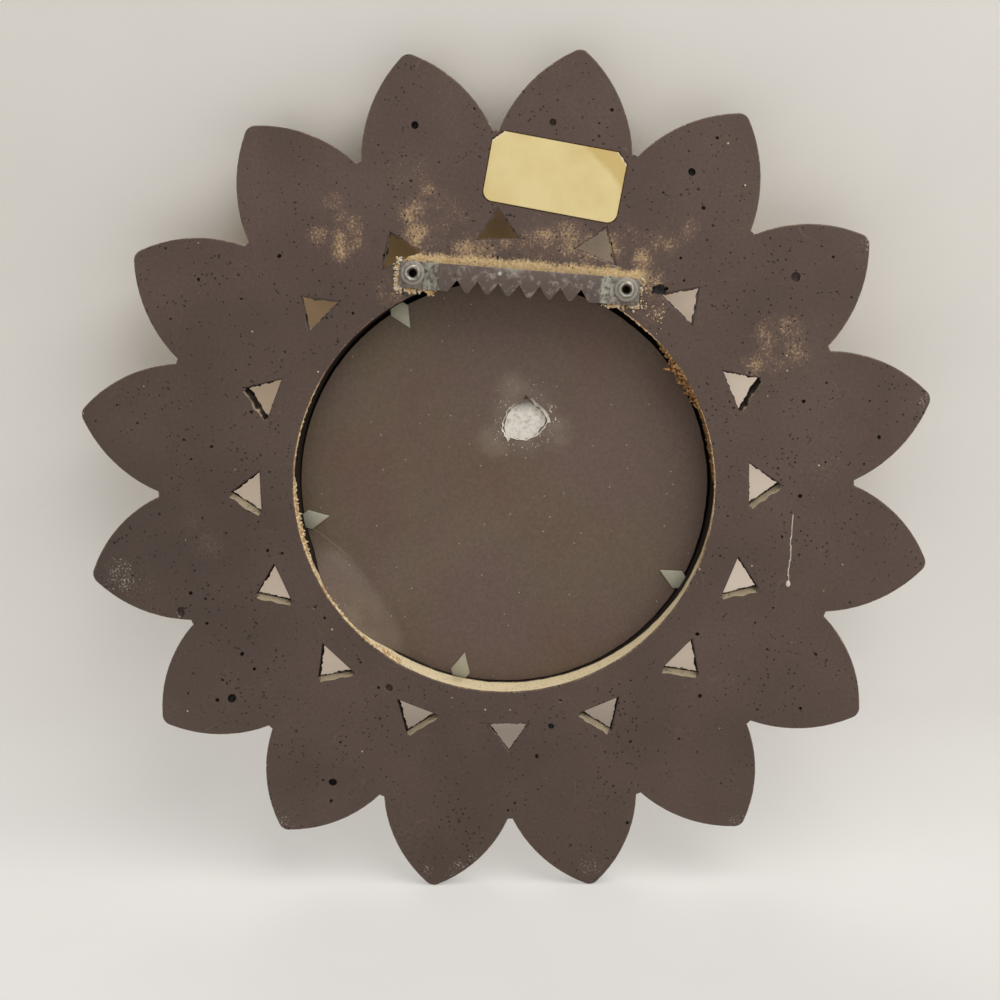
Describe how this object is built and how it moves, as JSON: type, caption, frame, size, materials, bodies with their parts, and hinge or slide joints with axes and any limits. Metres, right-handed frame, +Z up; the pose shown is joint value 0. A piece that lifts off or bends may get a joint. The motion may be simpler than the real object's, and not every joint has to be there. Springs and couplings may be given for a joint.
{
  "type": "sunburst wall mirror",
  "caption": "Small round wall mirror in a cast frame of pointed, ridged petals, closed behind by a card and hung by a sawtooth hanger.",
  "frame": {"origin": "on the mirror's axis, in the plane of the casting's flat back, which faces the wall", "axes": "+Z up as it hangs, +Y towards the wall, -Y the viewing side"},
  "size_m": [0.2236, 0.0222, 0.2236],
  "materials": {
    "casting": "painted foamed resin, satin brown behind, aged gold in front",
    "silvered_glass": "polished",
    "card": "brown card with a grey haze",
    "point_steel": "dull zinc plate",
    "hanger_steel": "pressed steel, painted over with the frame",
    "rivet_metal": "bare, tarnished",
    "label_paper": "yellowed, unprinted"
  },
  "bodies": {
    "root": {"petal_frame": "casting", "mirror_glass": "silvered_glass", "backing_board": "card", "glazier_point_upper_left": "point_steel", "glazier_point_left": "point_steel", "glazier_point_bottom": "point_steel", "glazier_point_right": "point_steel", "sawtooth_hanger": "hanger_steel", "hanger_rivet_left": "rivet_metal", "hanger_rivet_right": "rivet_metal", "paper_label": "label_paper"}
  },
  "joints": []
}
